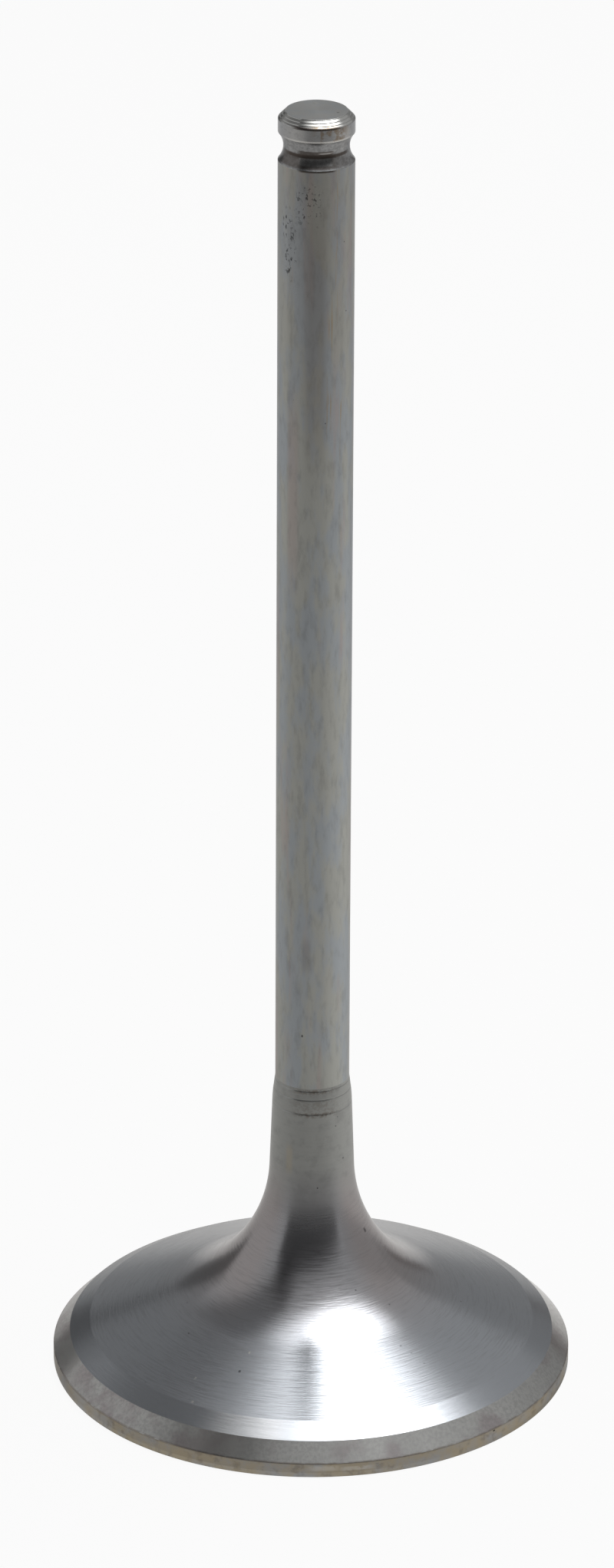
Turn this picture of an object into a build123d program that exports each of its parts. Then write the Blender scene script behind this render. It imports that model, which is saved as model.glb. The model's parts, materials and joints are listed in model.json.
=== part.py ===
from build123d import *
from math import radians, sqrt, tan
import os

# Intake poppet valve of a four-stroke engine: one forged and ground piece.
#
# Frame: origin at the centre of the flat combustion face, +Z up the stem to the tip.
# The valve is a body of revolution, so its half profile is drawn once and revolved.

# ---- driving dimensions, mm and degrees -------------------------------------
overall_length = 125.65      # combustion face to tip end face

# head
head_diameter = 49.2
margin_height = 1.42         # plain cylindrical rim under the seat
rim_break = 0.15             # edge break round the combustion face
seat_angle = 45.0            # ground seat, measured from the head plane
seat_width = 1.58            # radial width of the seat
relief_angle = 30.0          # back-cut inside the seat
relief_width = 1.89          # radial width of the back-cut
back_angle = 22.0            # slope of the head's back, the tulip

# neck
runout_rise = 0.245          # how much wider the neck is, in radius, than the ground stem
neck_taper = 2.1             # half angle, widening towards the head
neck_fillet = 14.7           # sweep from the neck into the head's back

# stem
stem_diameter = 6.97         # ground, for a 7 mm guide
runout_height = 29.8         # the ground length ends here
runout_length = 1.9          # short cone from the ground stem down to the neck
runout_blend = 14.0          # radius between the run-out and the neck
ring_drops = (0.25, 1.13, 2.58)   # tool rings, below runout_height
ring_depth = 0.05
ring_radius = 0.12

# tip and keeper groove
tip_chamfer = 0.67           # ground at 45 degrees round the end face
tip_round = 0.20             # softened edge from the chamfer to the land
tip_ring_drops = (0.21, 0.42)     # finer rings in the chamfer, below the end face
tip_ring_depth = 0.02
keeper_drop = 3.28           # tip end face to the groove's middle
keeper_depth = 0.49
keeper_radius = 2.10         # round-bottomed groove for bead keepers
keeper_edge_break = 0.08     # rounded groove lips

# ---- derived stations (radius, height) --------------------------------------
head_r = head_diameter / 2
stem_r = stem_diameter / 2
neck_r = stem_r + runout_rise

seat_r = head_r - seat_width
seat_z = margin_height + seat_width * tan(radians(seat_angle))
relief_r = seat_r - relief_width
relief_z = seat_z + relief_width * tan(radians(relief_angle))
runout_foot = runout_height - runout_length

# corner where the line of the neck would meet the line of the head's back
neck_slope = tan(radians(neck_taper))
back_slope = tan(radians(back_angle))
throat_z = (relief_z + (relief_r - neck_r - neck_slope * runout_foot) * back_slope) / (
    1 - neck_slope * back_slope
)
throat_r = neck_r + (runout_foot - throat_z) * neck_slope

keeper_z = overall_length - keeper_drop
keeper_centre_r = stem_r - keeper_depth + keeper_radius
keeper_half = sqrt(keeper_radius**2 - (keeper_radius - keeper_depth) ** 2)


def shaft_radius(drop):
    """Radius of the run-out or the neck, a drop below the end of the ground stem."""
    if drop < runout_length:
        return stem_r + runout_rise * drop / runout_length
    return neck_r + (drop - runout_length) * neck_slope


ring_stations = [
    (shaft_radius(drop) + ring_radius - ring_depth, runout_height - drop) for drop in ring_drops
]

# the chamfer leans at 45 degrees, so a ring's centre stands off it equally in both directions
tip_standoff = (ring_radius - tip_ring_depth) * sqrt(0.5)
tip_ring_stations = [
    (stem_r - tip_chamfer + drop + tip_standoff, overall_length - drop + tip_standoff)
    for drop in tip_ring_drops
]

# ---- the valve --------------------------------------------------------------
with BuildPart() as valve:
    with BuildSketch(Plane.XZ) as half_profile:
        with BuildLine():
            Polyline(
                (0, 0),
                (head_r, 0),
                (head_r, margin_height),
                (seat_r, seat_z),
                (relief_r, relief_z),
                (throat_r, throat_z),
                (neck_r, runout_foot),
                (stem_r, runout_height),
                (stem_r, overall_length),
                (0, overall_length),
                close=True,
            )
        make_face()

        # the tulip: one large sweep from the neck into the back of the head
        fillet(half_profile.vertices().sort_by_distance((throat_r, throat_z))[0], neck_fillet)

        # the run-out eases into the neck
        fillet(half_profile.vertices().sort_by_distance((neck_r, runout_foot))[0], runout_blend)

        # edge breaks at the two ends
        fillet(half_profile.vertices().sort_by_distance((head_r, 0))[0], rim_break)
        chamfer(
            half_profile.vertices().sort_by_distance((stem_r, overall_length))[0], tip_chamfer
        )
        fillet(
            half_profile.vertices().sort_by_distance((stem_r, overall_length - tip_chamfer))[0],
            tip_round,
        )

        # keeper groove, with its lips rounded
        with Locations((keeper_centre_r, keeper_z)):
            Circle(keeper_radius, mode=Mode.SUBTRACT)
        lips = [
            half_profile.vertices().sort_by_distance((stem_r, keeper_z + side * keeper_half))[0]
            for side in (1, -1)
        ]
        fillet(lips, keeper_edge_break)

        # fine tool rings left at the run-out and in the tip's chamfer
        with Locations(*ring_stations, *tip_ring_stations):
            Circle(ring_radius, mode=Mode.SUBTRACT)
    revolve(axis=Axis.Z)

valve.part.label = "valve"

os.makedirs("parts", exist_ok=True)
export_step(valve.part, "parts/valve.step")

print(f"valve: {valve.part.volume:.1f} mm3, box {valve.part.bounding_box().size}")
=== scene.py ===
"""Engine intake valve standing on its head: visual model, finishes and studio.

Lengths are in metres unless a name ends in _mm; angles are in degrees. The valve is
a body of revolution about Z, with the combustion face at z = 0 and the tip on top.
"""

import json
import math

import bpy
from mathutils import Matrix, Vector


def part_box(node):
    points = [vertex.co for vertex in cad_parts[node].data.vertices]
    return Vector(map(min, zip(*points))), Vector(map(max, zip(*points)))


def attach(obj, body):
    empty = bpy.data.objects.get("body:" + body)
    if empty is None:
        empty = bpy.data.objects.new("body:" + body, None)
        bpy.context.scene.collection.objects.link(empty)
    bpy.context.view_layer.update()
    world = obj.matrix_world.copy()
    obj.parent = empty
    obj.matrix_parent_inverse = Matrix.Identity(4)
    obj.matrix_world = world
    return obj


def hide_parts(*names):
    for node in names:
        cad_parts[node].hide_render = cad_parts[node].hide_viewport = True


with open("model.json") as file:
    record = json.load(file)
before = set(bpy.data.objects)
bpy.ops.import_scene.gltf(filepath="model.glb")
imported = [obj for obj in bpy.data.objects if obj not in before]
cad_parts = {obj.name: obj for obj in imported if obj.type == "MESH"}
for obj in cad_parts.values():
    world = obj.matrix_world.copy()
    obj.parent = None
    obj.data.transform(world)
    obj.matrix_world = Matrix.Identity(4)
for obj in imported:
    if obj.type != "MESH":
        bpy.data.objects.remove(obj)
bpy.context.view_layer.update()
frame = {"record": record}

MM = 0.001
TAU = 2 * math.pi

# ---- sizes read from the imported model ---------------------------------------
low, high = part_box("valve")
mounts = {mount["name"]: mount for mount in frame["record"]["mounts"]}
HEAD_R = high.x
TIP_Z = high.z
STEM_R = mounts["stem"]["dims"]["r_mm"] * MM
KEEPER_Z = mounts["keeper_groove"]["pos_m"][2]

# ---- the remaining sizes of the valve's profile -------------------------------
MARGIN_MM = 1.42
MARGIN = MARGIN_MM * MM
SEAT_WIDTH = 1.58 * MM
SEAT_ANGLE = 45.0
RELIEF_WIDTH = 1.89 * MM
RELIEF_ANGLE = 30.0
BACK_ANGLE = 22.0
RUNOUT_Z = 29.8 * MM
RUNOUT_LENGTH = 1.9 * MM
RUNOUT_RISE = 0.245 * MM
RUNOUT_BLEND = 12.0 * MM
NECK_TAPER = 2.1
NECK_FILLET = 14.7 * MM
RING_DROPS = (2.58 * MM, 1.13 * MM, 0.25 * MM)
RING_DEPTH = 0.03 * MM
RING_HALF = 0.10 * MM
TIP_CHAMFER = 0.67 * MM
TIP_ROUND = 0.20 * MM
TIP_STEPS = 3
STEP_RISE_IN = 0.028 * MM
STEP_RISE_UP = 0.082 * MM
KEEPER_DEPTH = 0.49 * MM
KEEPER_R = 2.10 * MM

# rounds on the ground and turned edges
RIM_ROUND = 0.15 * MM
SEAT_OUTER_ROUND = 0.08 * MM
SEAT_INNER_ROUND = 0.05 * MM
CREASE_ROUND = 0.30 * MM
LIP_ROUND = 0.10 * MM
TIP_EDGE_ROUND = 0.04 * MM
STEP_ROUND = 0.015 * MM
RING_ROUND = 0.02 * MM

# fineness of the mesh
SEGMENTS = 240
SMALL_TURN = 8.0
LARGE_TURN = 1.2
LONG_ROW = 4.0 * MM
GUARD = 0.10 * MM
WELD = 0.5e-6

# the studio; a level is a brightness, of which 1 shows as white
WHITE = (1, 1, 1, 1)
WARM = (1.0, 0.985, 0.965, 1)
BLUSH_LIGHT = (1.0, 0.92, 0.9, 1)
ROOM_FILL = 0.15
FLOOR_SIZE = 6.0
FLOOR_Z = 0.02 * MM
FLOOR_PAPER = 0.8
FLOOR_GLOW = 0.93
CARD_Z = 0.5 * MM
SOFTBOX_PLACE = Vector((0.18, 0.07, 0.75))
SOFTBOX_R = 0.44
SOFTBOX_CORNERS = 48
CLOTH_GAP = 0.002
CLOTH_FADE = (0.22, 0.43)
CLOTH_LEVELS = (5.2, 0.9)
BULB_R = 0.20
BULB_LEVEL = 8.0
CAMERA_PLACE = (0.0, -0.6844, 0.3655)
CAMERA_PITCH = 24.08
CAMERA_YAW = -0.051
CAMERA_ROLL = 0.248
LENS = 185.6
SENSOR = 36.0


def slope(angle):
    """How far a line at this angle rises for each step out."""
    return math.tan(math.radians(angle))


SEAT_R = HEAD_R - SEAT_WIDTH
SEAT_Z = MARGIN + SEAT_WIDTH * slope(SEAT_ANGLE)
RELIEF_R = SEAT_R - RELIEF_WIDTH
RELIEF_Z = SEAT_Z + RELIEF_WIDTH * slope(RELIEF_ANGLE)
NECK_R = STEM_R + RUNOUT_RISE
RUNOUT_FOOT = RUNOUT_Z - RUNOUT_LENGTH
THROAT_Z = (
    RELIEF_Z + (RELIEF_R - NECK_R - slope(NECK_TAPER) * RUNOUT_FOOT) * slope(BACK_ANGLE)
) / (1 - slope(NECK_TAPER) * slope(BACK_ANGLE))
THROAT_R = NECK_R + (RUNOUT_FOOT - THROAT_Z) * slope(NECK_TAPER)
KEEPER_CENTRE_R = STEM_R - KEEPER_DEPTH + KEEPER_R
KEEPER_HALF = math.sqrt(KEEPER_R**2 - (KEEPER_R - KEEPER_DEPTH) ** 2)
LAND_TOP = TIP_Z - TIP_CHAMFER

# heights in mm that finishes are laid out from
RUNOUT_MM = RUNOUT_Z / MM
KEEPER_MM = KEEPER_Z / MM
LAND_TOP_MM = LAND_TOP / MM


# ---- node graphs written as Python expressions --------------------------------
class Value:
    """One socket of a node graph, usable in ordinary arithmetic."""

    def __init__(self, graph, socket):
        self.graph, self.socket = graph, socket

    def do(self, operation, *others):
        """The result of a Math node on this value and any others."""
        return self.graph.node("ShaderNodeMath", {"operation": operation}, self, *others)

    def __add__(self, other):
        return self.do("ADD", other)

    __radd__ = __add__

    def __sub__(self, other):
        return self.do("SUBTRACT", other)

    def __rsub__(self, other):
        return self.graph.node("ShaderNodeMath", {"operation": "SUBTRACT"}, other, self)

    def __mul__(self, other):
        return self.do("MULTIPLY", other)

    __rmul__ = __mul__

    def __truediv__(self, other):
        return self.do("DIVIDE", other)

    def ramp(self, start, end, first=0.0, last=1.0):
        """Goes smoothly from first to last while this value goes from start to end."""
        return self.graph.node(
            "ShaderNodeMapRange",
            {"interpolation_type": "SMOOTHSTEP"},
            **{"Value": self, "From Min": start, "From Max": end, "To Min": first, "To Max": last},
        )

    def band(self, middle, half, soft):
        """1 within half of middle, and 0 from soft beyond that."""
        return (self - middle).do("ABSOLUTE").ramp(half, half + soft, 1.0, 0.0)

    def either(self, other):
        """The larger of two masks."""
        return self.do("MAXIMUM", other)


class Graph:
    """Fills one node tree; every node is made by node()."""

    def __init__(self, tree):
        self.tree = tree
        tree.nodes.clear()

    def node(self, kind, settings=None, *values, out=0, **named):
        """Makes a node: its settings first, then its sockets, by place or by name. Gives
        back the output numbered out."""
        made = self.tree.nodes.new(kind)
        for key, setting in (settings or {}).items():
            setattr(made, key, setting)
        for place, value in [*enumerate(values), *named.items()]:
            self.feed(self.socket(made, place), value)
        return Value(self, made.outputs[out]) if len(made.outputs) else made

    def socket(self, made, place):
        if isinstance(place, int):
            return made.inputs[place]
        return next(s for s in made.inputs if place in (s.identifier, s.name.replace(" ", "_")))

    def feed(self, socket, value):
        if isinstance(value, Value):
            self.tree.links.new(value.socket, socket)
        else:
            socket.default_value = value

    def outputs(self, value):
        return {s.name: Value(self, s) for s in value.socket.node.outputs}

    def vector(self, operation, *values):
        return self.node("ShaderNodeVectorMath", {"operation": operation}, *values)

    def join(self, x, y, z):
        return self.node("ShaderNodeCombineXYZ", None, x, y, z)

    def split(self, vector):
        made = self.node("ShaderNodeSeparateXYZ", None, vector)
        return list(self.outputs(made).values())

    def mix(self, factor, a, b):
        return self.node(
            "ShaderNodeMix", {"data_type": "RGBA"}, out=2,
            Factor_Float=factor, A_Color=a, B_Color=b,
        )

    def noise(self, vector, detail=2.0, roughness=0.5):
        return self.node(
            "ShaderNodeTexNoise", None, Vector=vector, Scale=1.0, Detail=detail, Roughness=roughness
        )

    def dots(self, vector):
        """Distance from the nearest of scattered points, one to a unit cell."""
        return self.node("ShaderNodeTexVoronoi", None, Vector=vector, Scale=1.0)


# ---- half profile of the valve ------------------------------------------------
def corner_arc(before, corner, after, radius):
    """The points of a tangent arc of this radius in place of the corner."""
    a, b = (corner - before).normalized(), (after - corner).normalized()
    turn = a.angle(b)
    side = 1 if a.x * b.y - a.y * b.x > 0 else -1
    start = corner - a * radius * math.tan(turn / 2)
    centre = start + Vector((-a.y, a.x)) * radius * side
    step = LARGE_TURN if radius > MM else SMALL_TURN
    count = max(3, math.ceil(math.degrees(turn) / step))
    return [
        centre + Matrix.Rotation(side * turn * i / count, 2) @ (start - centre)
        for i in range(count + 1)
    ]


def rows_between(a, b, guard_a, guard_b):
    """Rows along a straight run: close to rounded ends, and evenly in between."""
    run = (b - a).length
    if run < 4 * GUARD:
        return []
    first = GUARD if guard_a else 0.0
    last = run - GUARD if guard_b else run
    count = math.ceil((last - first) / LONG_ROW)
    rows = [first + (last - first) * i / count for i in range(count + 1)]
    return [a + (b - a) * (s / run) for s in rows if 0 < s < run]


def running_length(rows):
    """The length of the line through these rows, in metres."""
    return sum((b - a).length for a, b in zip(rows, rows[1:]))


def half_profile(corners):
    """Corners (r, z, round, name of the zone that ends there) made into rows, with
    the running length in mm at which each zone ends."""
    spots = [Vector(corner[:2]) for corner in corners]
    rows, zone_ends = [spots[0]], {}
    for i in range(1, len(corners)):
        radius, zone = corners[i][2:]
        arc = [spots[i]]
        if radius:
            arc = corner_arc(spots[i - 1], spots[i], spots[i + 1], radius)
        guard_b = bool(radius) and i < len(corners) - 1
        rows += rows_between(rows[-1], arc[0], bool(corners[i - 1][2]), guard_b)
        middle = len(rows) + len(arc) // 2
        rows += arc
        if zone:
            zone_ends[zone] = running_length(rows[:middle + 1]) / MM
    return rows, zone_ends


def shaft_radius(z):
    """The shaft's radius just below the ground length of the stem."""
    drop = RUNOUT_Z - z
    if drop < RUNOUT_LENGTH:
        return STEM_R + RUNOUT_RISE * drop / RUNOUT_LENGTH
    return NECK_R + (drop - RUNOUT_LENGTH) * slope(NECK_TAPER)


def tool_ring(z):
    """A small groove left by the tool, from below upwards."""
    return [
        (shaft_radius(z - RING_HALF), z - RING_HALF, RING_ROUND, None),
        (shaft_radius(z) - RING_DEPTH, z, RING_ROUND, None),
        (shaft_radius(z + RING_HALF), z + RING_HALF, RING_ROUND, None),
    ]


def keeper_groove(steps=24):
    """The round-bottomed groove with rounded lips, from below upwards."""
    reach = math.asin(KEEPER_HALF / KEEPER_R)
    corners = []
    for step in range(steps + 1):
        swing = reach * (2 * step / steps - 1)
        corners.append([
            KEEPER_CENTRE_R - KEEPER_R * math.cos(swing),
            KEEPER_Z + KEEPER_R * math.sin(swing),
            0, None,
        ])
    corners[0][2:] = LIP_ROUND, "stem"
    corners[-1][2:] = LIP_ROUND, "groove"
    return corners


def stepped_chamfer():
    """The 45 degree chamfer as the tool left it: flatter steps with steep risers between."""
    step = TIP_CHAMFER / TIP_STEPS
    corners = [(STEM_R, LAND_TOP, TIP_ROUND, "land")]
    for i in range(TIP_STEPS):
        radius, z = STEM_R - step * i, LAND_TOP + step * i
        tread = (radius - step + STEP_RISE_IN, z + step - STEP_RISE_UP)
        corners.append((*tread, STEP_ROUND, None))
        corners.append((radius - step, z + step, STEP_ROUND, None))
    corners[-1] = (STEM_R - TIP_CHAMFER, TIP_Z, TIP_EDGE_ROUND, "chamfer")
    return corners


def valve_corners():
    """The corners of the half profile, from the middle of the face out and up to the tip."""
    ring_1, ring_2, ring_3 = (tool_ring(RUNOUT_Z - drop) for drop in RING_DROPS)
    return [
        (0, low.z, 0, None),
        (HEAD_R, low.z, RIM_ROUND, "face"),
        (HEAD_R, MARGIN, SEAT_OUTER_ROUND, "margin"),
        (SEAT_R, SEAT_Z, SEAT_INNER_ROUND, "seat"),
        (RELIEF_R, RELIEF_Z, CREASE_ROUND, "relief"),
        (THROAT_R, THROAT_Z, NECK_FILLET, None),
        *ring_1,
        (NECK_R, RUNOUT_FOOT, RUNOUT_BLEND, None),
        *ring_2,
        *ring_3,
        (STEM_R, RUNOUT_Z, 0, "neck"),
        *keeper_groove(),
        *stepped_chamfer(),
        (0, TIP_Z, 0, "tip"),
    ]


def profile_object(rows):
    """The half profile as a line mesh that carries its running length in mm."""
    mesh = bpy.data.meshes.new("half_profile")
    mesh.from_pydata([(p.x, 0, p.y) for p in rows], [(i, i + 1) for i in range(len(rows) - 1)], [])
    run = mesh.attributes.new("run_mm", "FLOAT", "POINT")
    length = 0.0
    for i in range(1, len(rows)):
        length += (rows[i] - rows[i - 1]).length / MM
        run.data[i].value = length
    made = bpy.data.objects.new("half_profile", mesh)
    bpy.context.scene.collection.objects.link(made)
    return made


# ---- the lathe: a half profile turned about Z ---------------------------------
def add_input(tree, name, kind, value=None):
    """Adds a named input and gives back the key that a modifier sets it by."""
    socket = tree.interface.new_socket(name=name, in_out="INPUT", socket_type=kind)
    if value is not None:
        socket.default_value = value
    return socket.identifier


def lathe_tree(finishes):
    """A tree that turns a line mesh about Z. finishes lists (zone, material) along
    the profile; an input for each gives the running length in mm where it ends."""
    tree = bpy.data.node_groups.new("lathe", "GeometryNodeTree")
    graph = Graph(tree)
    add_input(tree, "Profile", "NodeSocketGeometry")
    keys = {"Segments": add_input(tree, "Segments", "NodeSocketInt", SEGMENTS)}
    for zone, _ in finishes:
        keys[zone] = add_input(tree, f"End of {zone}", "NodeSocketFloat", 0.0)
    tree.interface.new_socket(name="Skin", in_out="OUTPUT", socket_type="NodeSocketGeometry")
    given = graph.outputs(graph.node("NodeGroupInput"))
    profile, segments = given["Profile"], given["Segments"]

    rows = graph.node("GeometryNodeAttributeDomainSize", {"component": "MESH"}, profile)
    index = graph.node("GeometryNodeInputIndex")
    turn = ((index + 0.5) / rows).do("FLOOR")
    row = index - turn * rows
    spot = graph.node(
        "GeometryNodeSampleIndex", {"data_type": "FLOAT_VECTOR"},
        Geometry=profile, Value=graph.node("GeometryNodeInputPosition"), Index=row,
    )
    named_run = graph.node("GeometryNodeInputNamedAttribute", {"data_type": "FLOAT"}, "run_mm")
    run = graph.node(
        "GeometryNodeSampleIndex", {"data_type": "FLOAT"},
        Geometry=profile, Value=named_run, Index=row,
    )
    radius, _, height = graph.split(spot)
    angle = turn / segments * TAU
    place = graph.join(radius * angle.do("COSINE"), radius * angle.do("SINE"), height)

    skin = graph.node("GeometryNodeMeshGrid", None, 1.0, 1.0, segments + 1, rows)
    skin = graph.node("GeometryNodeSetPosition", None, Geometry=skin, Position=place)
    skin = graph.node(
        "GeometryNodeStoreNamedAttribute", {"data_type": "FLOAT"},
        Geometry=skin, Name="run_mm", Value=run,
    )
    skin = graph.node(
        "GeometryNodeStoreNamedAttribute", {"data_type": "FLOAT2", "domain": "CORNER"},
        Geometry=skin, Name="UVMap", Value=graph.join(turn / segments, run / rows, 0.0),
    )
    skin = graph.node("GeometryNodeMergeByDistance", None, Geometry=skin, Distance=WELD)
    skin = graph.node("GeometryNodeRealizeInstances", None, skin)
    here = graph.node("GeometryNodeInputNamedAttribute", {"data_type": "FLOAT"}, "run_mm")
    for zone, material in reversed(finishes):
        before_end = here.do("LESS_THAN", given[f"End of {zone}"])
        skin = graph.node(
            "GeometryNodeSetMaterial", None,
            Geometry=skin, Selection=before_end, Material=material,
        )
    skin = graph.node("GeometryNodeSetShadeSmooth", None, skin)
    graph.node("NodeGroupOutput", None, skin)
    return tree, keys


def turned(name, rows, zone_ends, finishes):
    """The plain mesh piece that the lathe makes from these rows."""
    blank = profile_object(rows)
    tree, keys = lathe_tree(finishes)
    lathe = blank.modifiers.new("lathe", "NODES")
    lathe.node_group = tree
    lathe[keys["Segments"]] = SEGMENTS
    for zone, _ in finishes:
        lathe[keys[zone]] = zone_ends[zone]
    shaped = blank.evaluated_get(bpy.context.evaluated_depsgraph_get())
    mesh = bpy.data.meshes.new_from_object(shaped)
    bpy.data.objects.remove(blank)
    mesh.name = name
    piece = bpy.data.objects.new(name, mesh)
    bpy.context.scene.collection.objects.link(piece)
    return piece


# ---- finishes -----------------------------------------------------------------
BLUED = (0.225, 0.242, 0.255, 1)
KHAKI = (0.248, 0.252, 0.236, 1)
BLUSH = (0.255, 0.220, 0.210, 1)
BLUE_STEEL = (0.188, 0.197, 0.210, 1)
LILAC_STEEL = (0.205, 0.190, 0.190, 1)
MATT_STEEL = (0.209, 0.213, 0.205, 1)
PLAIN_STEEL = (0.228, 0.230, 0.232, 1)
PALE_STEEL = (0.250, 0.250, 0.243, 1)
# dark steel, and also the colour of painted shade and dark reflections
DARK_STEEL_AND_SHADE = (0.085, 0.085, 0.085, 1)
PIT_BLACK = (0.02, 0.02, 0.02, 1)
# soot, and also the colour of painted shade at the top of the stem
SOOT_AND_SHADE = (0.115, 0.098, 0.082, 1)
# nearly black grime, and also the colour of painted shade and dark reflections
GRIME_AND_SHADE = (0.045, 0.036, 0.030, 1)
STRAW = (0.255, 0.222, 0.165, 1)
OCHRE = (0.23, 0.15, 0.06, 1)
OIL_BROWN = (0.150, 0.110, 0.072, 1)
# pale worn steel, and also the colour of painted highlights
WEAR_AND_HIGHLIGHT = (0.56, 0.55, 0.53, 1)


class Finish(Graph):
    """A material for the valve, with the places on it that patterns are laid out by:
    x, y, z and run, the running length of the profile, in mm, and around, in degrees
    from the front, growing to the right."""

    def __init__(self, name, colour):
        self.material = bpy.data.materials.new(name)
        self.material.use_nodes = True
        super().__init__(self.material.node_tree)
        held = self.node("ShaderNodeTexCoord", out=3)
        self.place = self.vector("MULTIPLY", held, (1 / MM,) * 3)
        self.x, self.y, self.z = self.split(self.place)
        self.run = self.node("ShaderNodeAttribute", {"attribute_name": "run_mm"}, out=2)
        self.around = self.x.do("ARCTAN2", self.y * -1) * (360 / TAU)
        self.colour = colour
        self.bumps = None

    def rings(self, fineness, spread, shift=0.0, detail=3.0):
        """Marks that run round the axis: fineness per mm along the profile."""
        across = self.join(self.x * spread + shift, self.y * spread, self.run * fineness)
        return self.noise(across, detail, 0.6)

    def streaks(self, fineness, stretch, shift=0.0, detail=3.0):
        """Marks that run along the axis: fineness per mm round it, stretch along it."""
        along = self.join(self.x * fineness + shift, self.y * fineness, self.z * stretch)
        return self.noise(along, detail, 0.6)

    def clouds(self, fineness, shift=0.0, detail=3.0):
        """Marks that run no particular way."""
        spread = self.vector("MULTIPLY_ADD", self.place, (fineness,) * 3, (shift,) * 3)
        return self.noise(spread, detail, 0.6)

    def specks(self, per_mm, size, shift=0.0):
        """Scattered round specks, 1 inside each; size is a share of their spacing."""
        far = self.dots(self.vector("MULTIPLY_ADD", self.place, (per_mm,) * 3, (shift,) * 3))
        return far.ramp(size * 0.6, size, 1.0, 0.0)

    def marks(self, *places):
        """Soft-edged marks, 1 inside; each is (degrees round, z, degrees wide, mm tall)."""
        found = None
        for around, z, wide, tall in places:
            mark = self.around.band(around, wide / 4, wide / 2) * self.z.band(z, tall / 4, tall / 2)
            found = found.either(mark) if found else mark
        return found

    def stain(self, where, colour, share=1.0):
        """Lays a share of a colour over what is there already, where the mask says."""
        self.colour = self.mix(where * share, self.colour, colour)

    def bump(self, height, depth_mm):
        """Adds relief: height 0 to 1 stands for depth_mm."""
        before = {"Normal": self.bumps} if self.bumps else {}
        self.bumps = self.node(
            "ShaderNodeBump", None, Height=height, Strength=1.0, Distance=depth_mm * MM, **before
        )

    def done(self, roughness, anisotropy, edge=0.8):
        """Joins the shader: anisotropy draws gleams out across the marks that run round,
        and edge is how much of the edge-on gleam is left."""
        shader = self.node(
            "ShaderNodeBsdfPrincipled", None, Metallic=1.0, Roughness=roughness,
            Anisotropic=anisotropy, Specular_Tint=(edge, edge, edge, 1), Normal=self.bumps,
            **{"Base Color": self.colour, "Anisotropic Rotation": 0.25},
        )
        self.node("ShaderNodeOutputMaterial", None, shader)
        return self.material


def ground_stem():
    """Ground and matt, mottled blue, khaki and a little pink, with pits near the tip."""
    f = Finish("ground_stem", BLUED)
    f.stain(f.streaks(0.42, 0.11, 0.0, 5.0).ramp(0.42, 0.58), KHAKI)
    # pink: random streaks of tint, with two patches on the left that are painted pink reflection
    blush = f.streaks(0.55, 0.05, 31.0).ramp(0.56, 0.70)
    blush = blush.either(f.marks((-36, 90, 18, 16), (-80, 74, 24, 12)))
    f.stain(blush, BLUSH, 0.55)
    flecks = f.streaks(1.7, 0.5, 17.0, 5.0)
    f.stain(flecks.ramp(0.45, 0.75), DARK_STEEL_AND_SHADE, 0.26)
    # darker towards the top: partly soot, partly painted shade for the dimmer reflections higher up
    f.stain(f.z.ramp(88, 122), SOOT_AND_SHADE, 0.20)
    f.stain(f.marks((-10, 43.6, 14, 3.2), (0, 105, 30, 22)), SOOT_AND_SHADE, 0.30)
    tan = f.streaks(4.0, 0.12, 53.0).ramp(0.52, 0.64)
    tan = tan * f.marks((33, 115, 9, 14), (43, 96, 9, 8), (22, 101, 9, 14))
    f.stain(tan, OCHRE, 0.55)
    pits = f.streaks(3.4, 2.4, 11.0, 4.0).ramp(0.54, 0.64)
    pits = pits * f.marks((-12, 117.8, 34, 3.4), (-46, 115.6, 26, 3.0), (-42, 112.2, 20, 3.2))
    strays = f.specks(0.33, 0.035, 5.0).either(f.marks((-16, 35.3, 2.6, 0.2)))
    pits = pits.either(strays)
    f.stain(pits, PIT_BLACK, 0.8)
    # painted dark reflection: a dark line just under the groove's lower lip
    under_lip = (f.z - KEEPER_MM).band(-1.39, 0.06, 0.08) * f.around.band(1, 22, 10)
    f.stain(under_lip, GRIME_AND_SHADE, 0.85)
    f.bump(f.rings(7.0, 0.5), 0.002)
    f.bump(1 - pits, 0.02)
    return f.done(flecks * 0.12 + 0.24, 0.3, 0.70)


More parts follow.
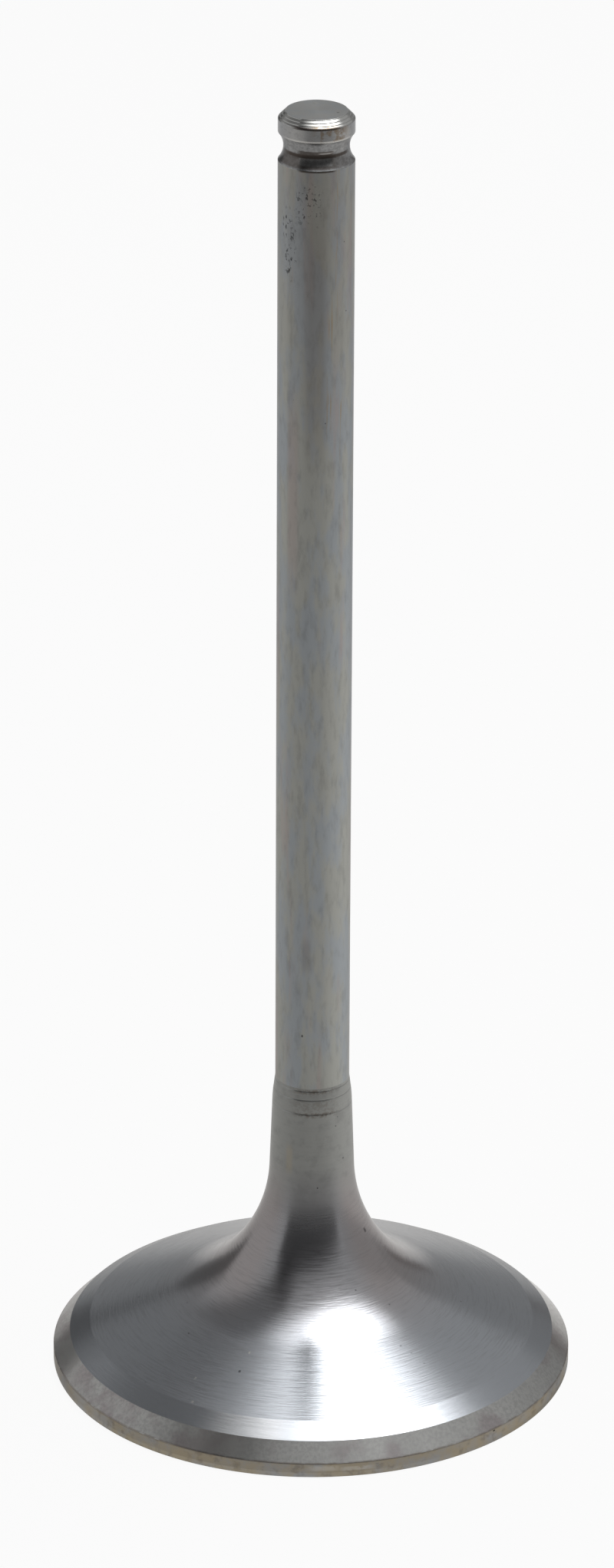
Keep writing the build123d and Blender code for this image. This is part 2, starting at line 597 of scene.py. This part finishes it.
def turned_neck():
    """From the back-cut up the tulip to the foot of the ground stem, turned and brushed."""
    f = Finish("turned_neck", BLUE_STEEL)
    below = f.z.ramp(12, 20, 1.0, 0.25)
    brushing = f.rings(6.0, 0.40, 5.0, 4.0)
    f.stain(f.z.ramp(6, 11) * (1 - f.around.band(0, 28, 24) * 0.6), LILAC_STEEL)
    f.stain(f.z.ramp(16, 23), MATT_STEEL)
    f.stain(brushing.ramp(0.45, 0.70) * below, DARK_STEEL_AND_SHADE, 0.20)
    f.stain(f.clouds(0.9, 7.0, 4.0).ramp(0.45, 0.7) * f.z.ramp(14, 22), DARK_STEEL_AND_SHADE, 0.22)

    down = RUNOUT_MM - f.z
    grime = down.band(0.3, 0.10, 0.25).either(down.band(2.6, 0.10, 0.30))
    grime = grime.either(down.band(1.8, 0.3, 0.5) * 0.5)
    grime = grime * f.clouds(3.5, 3.0, 5.0).ramp(0.4, 0.6) * f.around.band(5, 16, 30)
    f.stain(grime, SOOT_AND_SHADE, 0.7)
    smudges = f.rings(6.0, 0.5, 21.0, 4.0).ramp(0.46, 0.64)
    smudges = smudges * f.z.band(11.8, 1.2, 2.6) * f.around.band(-4, 22, 24)
    f.stain(smudges, DARK_STEEL_AND_SHADE, 0.4)
    # painted dark reflection: a darker patch across the front of the neck
    f.stain(f.marks((4, 18.9, 56, 4.4)), DARK_STEEL_AND_SHADE, 0.28)
    f.stain(f.marks((-33, 22.4, 10, 2.6)), STRAW, 0.4)
    specks = f.specks(0.5, 0.05, 9.0)
    specks = specks.either(f.marks((66, 14.4, 3.4, 0.36), (-24, 6.0, 0.7, 0.1)))
    f.stain(specks, PIT_BLACK, 0.7)
    nicks = f.marks((-36, 5.2, 0.6, 0.1), (-32, 4.2, 0.6, 0.1), (-24, 6.9, 0.6, 0.1))
    f.stain(nicks, PALE_STEEL)

    f.bump(f.rings(1.4, 0.05) * below, 0.003)
    f.bump(brushing * below, 0.012)
    matt = f.z.ramp(9, 24) * 0.15
    return f.done(brushing * 0.12 + matt + 0.14, 0.3)


def ground_relief():
    """The back-cut inside the seat, ground finely, and a little brighter in front from a painted
    highlight.
    """
    f = Finish("ground_relief", BLUE_STEEL)
    grinding = f.rings(4.0, 0.4, 8.0, 5.0)
    # painted highlight: a lighter patch at the front left of the back-cut
    f.stain(f.marks((-16, 3.6, 18, 3.0)), WEAR_AND_HIGHLIGHT, 0.17)
    f.stain(grinding.ramp(0.45, 0.75), DARK_STEEL_AND_SHADE, 0.10)
    f.bump(grinding, 0.012)
    return f.done(grinding * 0.12 + 0.18, 0.4, 0.7)


def ground_seat():
    """Ground matt and speckled, with a thin brown line along its outer edge."""
    f = Finish("ground_seat", PALE_STEEL)
    grain = f.clouds(3.0, 0.0, 5.0)
    f.stain(f.clouds(0.22, 9.0).ramp(0.45, 0.65), LILAC_STEEL)
    f.stain(grain.ramp(0.40, 0.62), DARK_STEEL_AND_SHADE, 0.22)
    # painted light: two lighter patches on the left of the seat, two darker ones at its front
    f.stain(f.marks((-22, 2.2, 12, 3.0), (-76, 2.2, 16, 3.0)), WEAR_AND_HIGHLIGHT, 0.22)
    f.stain(f.marks((-1, 2.2, 26, 3.0), (21, 2.2, 8, 3.0)), DARK_STEEL_AND_SHADE, 0.16)
    edge = f.z.ramp(MARGIN_MM + 0.14, MARGIN_MM + 0.04)
    f.stain(edge * f.clouds(0.8, 3.0).ramp(0.35, 0.5), SOOT_AND_SHADE, 0.6)
    f.bump(grain, 0.0025)
    return f.done(grain * 0.12 + 0.16, 0.2)


def turned_face():
    """The combustion face and the margin round it, stained the colour of straw."""
    f = Finish("turned_face", PLAIN_STEEL)
    f.stain(f.clouds(0.35, 6.0, 4.0).ramp(0.28, 0.60), STRAW)
    f.stain(f.clouds(1.2, 2.0, 4.0).ramp(0.5, 0.7), SOOT_AND_SHADE, 0.45)
    face = f.z.ramp(0.10, 0.02)
    f.stain(f.rings(2.4, 0.03, 3.0, 4.0).ramp(0.40, 0.64) * face, SOOT_AND_SHADE, 0.5)
    # painted highlight: a lighter patch on the margin, on its left
    f.stain(f.marks((-70, 0.8, 32, 3.0)) * (1 - face), WEAR_AND_HIGHLIGHT, 0.22)
    scrapes = f.marks((3, 0.95, 6, 0.5), (10, 0.85, 7, 0.4)) * f.clouds(1.6, 8.0).ramp(0.35, 0.5)
    f.stain(scrapes, WEAR_AND_HIGHLIGHT, 0.25)
    f.stain(f.marks((44.3, 1.25, 0.6, 0.14)), PIT_BLACK)
    f.stain(f.z.ramp(MARGIN_MM - 0.12, MARGIN_MM - 0.04), SOOT_AND_SHADE, 0.5)
    turning = f.rings(4.0, 0.1)
    f.bump(turning, 0.004)
    return f.done(turning * 0.15 + 0.26, 0.4, 0.45)


def keeper_finish():
    """The groove: grey above its middle; below it an oily stain and painted dark reflection, with
    painted highlights at its lips and above its middle.
    """
    f = Finish("keeper_finish", PLAIN_STEEL)
    up = f.z - KEEPER_MM
    mottle = f.clouds(3.2, 1.0, 5.0)
    f.stain(mottle.ramp(0.38, 0.62), DARK_STEEL_AND_SHADE, 0.45)
    f.stain(up.ramp(0.33, 0.53) * f.around.ramp(8, 35), DARK_STEEL_AND_SHADE, 0.3)
    # below the groove's middle: partly an oily stain, partly painted dark reflection
    oil_and_shade = up.ramp(0.13, -0.07) * up.ramp(-1.32, -1.12) * f.around.band(-6, 60, 22)
    thin = f.around.band(-1, 22, 10) * up.band(-0.65, 0.22, 0.18)
    oil_and_shade = oil_and_shade * f.around.ramp(26, 44, 1.0, 0.5) * (1 - thin * 0.7)
    f.stain(oil_and_shade, GRIME_AND_SHADE, 0.7)
    # painted dark reflection: a dark ring along the groove's middle
    ring = up.band(-0.15, 0.10, 0.08) * f.around.band(4, 54, 18)
    ring = ring.either(up.band(0.05, 0.25, 0.10) * f.around.band(-1, 26, 10))
    f.stain(ring, GRIME_AND_SHADE, 0.8)
    # painted highlights, partly the lips' worn edges: a pale line at the upper lip and a fainter
    # one just under it
    f.stain(up.band(1.38, 0.06, 0.05) * f.around.band(4, 20, 60), WEAR_AND_HIGHLIGHT, 0.75)
    f.stain(up.band(1.23, 0.05, 0.06) * f.around.band(0, 18, 14), WEAR_AND_HIGHLIGHT, 0.25)
    # painted highlight: a small glint just above the groove's middle
    f.stain(up.band(0.16, 0.03, 0.06) * f.around.band(16, 7, 8), WEAR_AND_HIGHLIGHT, 0.35)
    f.bump(mottle, 0.002)
    return f.done(mottle * 0.1 + 0.17, 0.2, 0.6)


def land_finish():
    """The short ground land above the groove, with a painted highlight at its lip and painted dark
    reflection along its top, stained to the right.
    """
    f = Finish("land_finish", PLAIN_STEEL)
    f.stain(f.marks((-30, 124.3, 28, 2.4), (44, 124.0, 30, 1.2)), WEAR_AND_HIGHLIGHT, 0.2)
    stains = f.clouds(1.6, 14.0, 5.0).ramp(0.44, 0.58) * f.marks((24, 124.3, 50, 1.8))
    f.stain(stains, OIL_BROWN, 0.75)
    f.stain(f.clouds(2.5, 4.0).ramp(0.5, 0.7), DARK_STEEL_AND_SHADE, 0.25)
    # painted dark reflection: a dark line along the top of the land, under the chamfer
    under = f.z.band(LAND_TOP_MM - 0.05, 0.05, 0.06) * f.around.band(0, 28, 18)
    f.stain(under, GRIME_AND_SHADE, 0.85)
    # painted highlight: a pale line at the land's lip over the groove
    lip = (f.z - KEEPER_MM).band(1.40, 0.05, 0.05) * f.around.band(4, 20, 60)
    f.stain(lip, WEAR_AND_HIGHLIGHT, 0.55)
    f.bump(f.rings(7.0, 0.5), 0.002)
    return f.done(stains * 0.1 + 0.26, 0.4)


def chamfer_finish():
    """The bright turned chamfer round the tip, with a little rust and a dark foot that is painted
    dark reflection.
    """
    f = Finish("chamfer_finish", PALE_STEEL)
    rust = f.clouds(3.2, 5.0, 4.0).ramp(0.43, 0.55) * f.marks((12, 125.12, 34, 0.34))
    f.stain(rust, OCHRE, 0.6)
    # painted dark reflection: a dark line along the chamfer's foot
    foot = f.z.ramp(LAND_TOP_MM + 0.14, LAND_TOP_MM + 0.08) * f.around.band(0, 28, 18)
    f.stain(foot, GRIME_AND_SHADE, 0.85)
    turning = f.rings(6.0, 0.5)
    f.bump(turning, 0.006)
    return f.done(turning * 0.08 + 0.14, 0.4, 0.6)


def tip_finish():
    """The smooth end face, hazed blue, with one speck and one nick."""
    f = Finish("tip_finish", PALE_STEEL)
    haze = f.clouds(0.9, 3.0)
    f.stain(haze.ramp(0.4, 0.65), BLUED, 0.6)
    f.stain(f.x.band(1.9, 0.04, 0.12) * f.y.band(-0.65, 0.06, 0.16), PIT_BLACK, 0.6)
    nick = f.x.band(-0.1, 0.06, 0.14) * f.y.band(1.8, 0.1, 0.2)
    f.bump(f.rings(6.0, 0.5), 0.001)
    f.bump(nick, 0.01)
    return f.done(haze * 0.08 + 0.25, 0.2)


# ---- studio -------------------------------------------------------------------
def shown_rays(graph):
    """1 for the rays that show the background: seen directly, reflected or refracted."""
    path = graph.outputs(graph.node("ShaderNodeLightPath"))
    seen = path["Is Camera Ray"] + path["Is Glossy Ray"] + path["Is Transmission Ray"]
    return seen.do("MINIMUM", 1.0)


def white_room():
    """White to the rays that show the background, and a dim fill of light to the rest."""
    world = bpy.data.worlds.new("white_room")
    bpy.context.scene.world = world
    world.use_nodes = True
    graph = Graph(world.node_tree)
    shown = shown_rays(graph)
    sky = graph.node(
        "ShaderNodeBackground", None, Color=WHITE, Strength=shown + (1 - shown) * ROOM_FILL
    )
    graph.node("ShaderNodeOutputWorld", None, sky)


def flat_panel(name, corners):
    """One flat face of the studio; corners are in metres."""
    mesh = bpy.data.meshes.new(name)
    mesh.from_pydata(corners, [], [range(len(corners))])
    panel = bpy.data.objects.new(name, mesh)
    bpy.context.scene.collection.objects.link(panel)
    return panel


def pale_floor():
    """The floor, a hair above the face that stands on it, so that the two don't mix."""
    half = FLOOR_SIZE / 2
    corners = [(-half, -half), (half, -half), (half, half), (-half, half)]
    floor = flat_panel("floor", [(x, y, FLOOR_Z) for x, y in corners])
    material = bpy.data.materials.new("pale_floor")
    material.use_nodes = True
    graph = Graph(material.node_tree)
    paper = graph.node("ShaderNodeBsdfDiffuse", None, Color=(FLOOR_PAPER,) * 3 + (1,))
    glow = graph.node("ShaderNodeEmission", None, Color=WHITE, Strength=1.0)
    mixed = graph.node("ShaderNodeMixShader", None, shown_rays(graph) * FLOOR_GLOW, paper, glow)
    graph.node("ShaderNodeOutputMaterial", None, mixed)
    floor.data.materials.append(material)


def card(name, corners, level, colour=WHITE):
    """A grey card that only reflections see; level is a number or made from (x, y, z)."""
    panel = flat_panel(name, corners)
    material = bpy.data.materials.new(name)
    material.use_nodes = True
    graph = Graph(material.node_tree)
    place = graph.split(graph.node("ShaderNodeTexCoord", out=3))
    strength = level(*place) if callable(level) else level
    grey = graph.node("ShaderNodeEmission", None, Color=colour, Strength=strength)
    graph.node("ShaderNodeOutputMaterial", None, grey)
    panel.data.materials.append(material)
    panel.visible_camera = panel.visible_diffuse = panel.visible_shadow = False


def upright(name, y, x_from, x_to, top, level, colour=WHITE):
    """An upright card across the room, from the floor up."""
    corners = [(x_from, y, 0), (x_to, y, 0), (x_to, y, top), (x_from, y, top)]
    card(name, corners, level, colour)


def distance(x, y):
    """How far out a place is, from how far it is across and along."""
    return (x * x + y * y).do("SQRT")


def softbox():
    """A round overhead softbox: a lamp in the middle of a cloth that dims to its rim."""
    light = bpy.data.lights.new("softbox_lamp", "AREA")
    light.shape = "DISK"
    light.size = 2 * BULB_R
    light.energy = BULB_LEVEL * math.pi * math.pi * BULB_R**2
    lamp = bpy.data.objects.new("softbox_lamp", light)
    lamp.location = SOFTBOX_PLACE
    bpy.context.scene.collection.objects.link(lamp)

    turns = [TAU * i / SOFTBOX_CORNERS for i in range(SOFTBOX_CORNERS)]
    rim = [
        SOFTBOX_PLACE + Vector((SOFTBOX_R * math.cos(turn), SOFTBOX_R * math.sin(turn), CLOTH_GAP))
        for turn in turns
    ]
    card("softbox_cloth", rim, cloth_level)


def cloth_level(x, y, z):
    """Bright round the lamp and dim at the rim."""
    out = distance(x - SOFTBOX_PLACE.x, y - SOFTBOX_PLACE.y)
    return out.ramp(*CLOTH_FADE, *CLOTH_LEVELS)


def camera():
    """A long lens in front of the valve, looking a little down on it."""
    data = bpy.data.cameras.new("camera")
    data.sensor_fit = "VERTICAL"
    data.sensor_height = SENSOR
    data.lens = LENS
    made = bpy.data.objects.new("camera", data)
    bpy.context.scene.collection.objects.link(made)
    aim = Matrix.Rotation(math.radians(-CAMERA_YAW), 4, "Z")
    aim @= Matrix.Rotation(math.radians(90 - CAMERA_PITCH), 4, "X")
    aim @= Matrix.Rotation(math.radians(CAMERA_ROLL), 4, "Z")
    made.matrix_world = Matrix.Translation(CAMERA_PLACE) @ aim
    bpy.context.scene.camera = made


def grey_room():
    """What the metal mirrors: a dark side behind the camera and greys all round."""
    side = [
        (-1.9, 0), (2.1, 0), (2.1, 1.65), (1.2, 1.7), (0.2, 2.1), (-0.3, 2.6), (-0.7, 3.0),
        (-2.87, 3.3), (-2.75, 2.1), (-2.45, 1.5), (-2.25, 0.8), (-1.95, 0.5),
    ]
    card("dark_side", [(x, -1.4, z) for x, z in side], dark_side_level)
    left = [(-1.0, -1.35, 0.7), (-1.0, 1.1, 0.7), (-0.75, 1.15, 2.3), (-0.75, -1.3, 2.3)]
    card("dark_left", left, dark_left_level)
    upright("grey_back_left", 1.2, -1.45, 0.0, 2.0, 0.60)
    upright("dark_back_left", 1.1, -1.20, -0.45, 0.52, 0.25)
    upright("dark_back_right", 1.1, 0.40, 0.92, 0.18, 0.34, BLUSH_LIGHT)
    upright("grey_back_right", 1.2, 0.0, 1.9, 0.75, 0.65)
    card("grey_right", [(1.6, -0.8, 0), (1.6, 1.2, 0), (1.6, 1.2, 1.0), (1.6, -0.8, 1.0)], 0.77)
    floor = [(-1.5, -1.39), (1.5, -1.39), (1.5, 0.14), (-1.5, 0.14)]
    card("shaded_floor", [(x, y, CARD_Z) for x, y in floor], floor_level, WARM)


def dark_side_level(x, y, z):
    """Nearly black in the middle, lighter at the floor and towards the top right."""
    top = (x * 0.3 + z).ramp(0.85, 2.15, 0.0, 0.88)
    return z.ramp(0.0, 0.4, 0.30, 0.12) + top * x.ramp(-1.6, -0.2)


def dark_left_level(x, y, z):
    """Light along its foot and towards the back, and light again at its front top."""
    foot = z.ramp(0.75, 1.2, 1.0, 0.40) * y.ramp(-0.75, -0.35, 0.16, 1.0)
    return foot + z.ramp(1.1, 1.8, 0.0, 0.28) * y.ramp(-0.9, -0.5, 1.0, 0.0)


def floor_level(x, y, z):
    """How light the floor is round the valve: dimmer to the front left and far in front."""
    side = x / distance(x, y)
    level = side.ramp(-0.4, 0.1, 0.79, 0.86) + side.ramp(0.3, 1.3, 0.0, 0.42)
    level = level + y.ramp(-0.04, 0.06, 0.0, 0.2)
    return level * (y * -1).ramp(0.20, 0.45, 1.0, 0.42) * x.ramp(0.14, 0.28, 1.0, 0.72)


camera()
white_room()
pale_floor()
grey_room()
softbox()
bpy.context.scene.view_settings.view_transform = "Standard"

rows, zone_ends = half_profile(valve_corners())
zone_ends["tip"] += 1.0  # the last zone takes in the end of the profile
face = turned_face()
finishes = [
    ("face", face), ("margin", face), ("seat", ground_seat()), ("relief", ground_relief()),
    ("neck", turned_neck()), ("stem", ground_stem()), ("groove", keeper_finish()),
    ("land", land_finish()), ("chamfer", chamfer_finish()), ("tip", tip_finish()),
]
valve = turned("valve_skin", rows, zone_ends, finishes)
valve.data.materials.pop(index=0)  # the empty slot, which no face uses
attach(valve, "root")
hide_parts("valve")
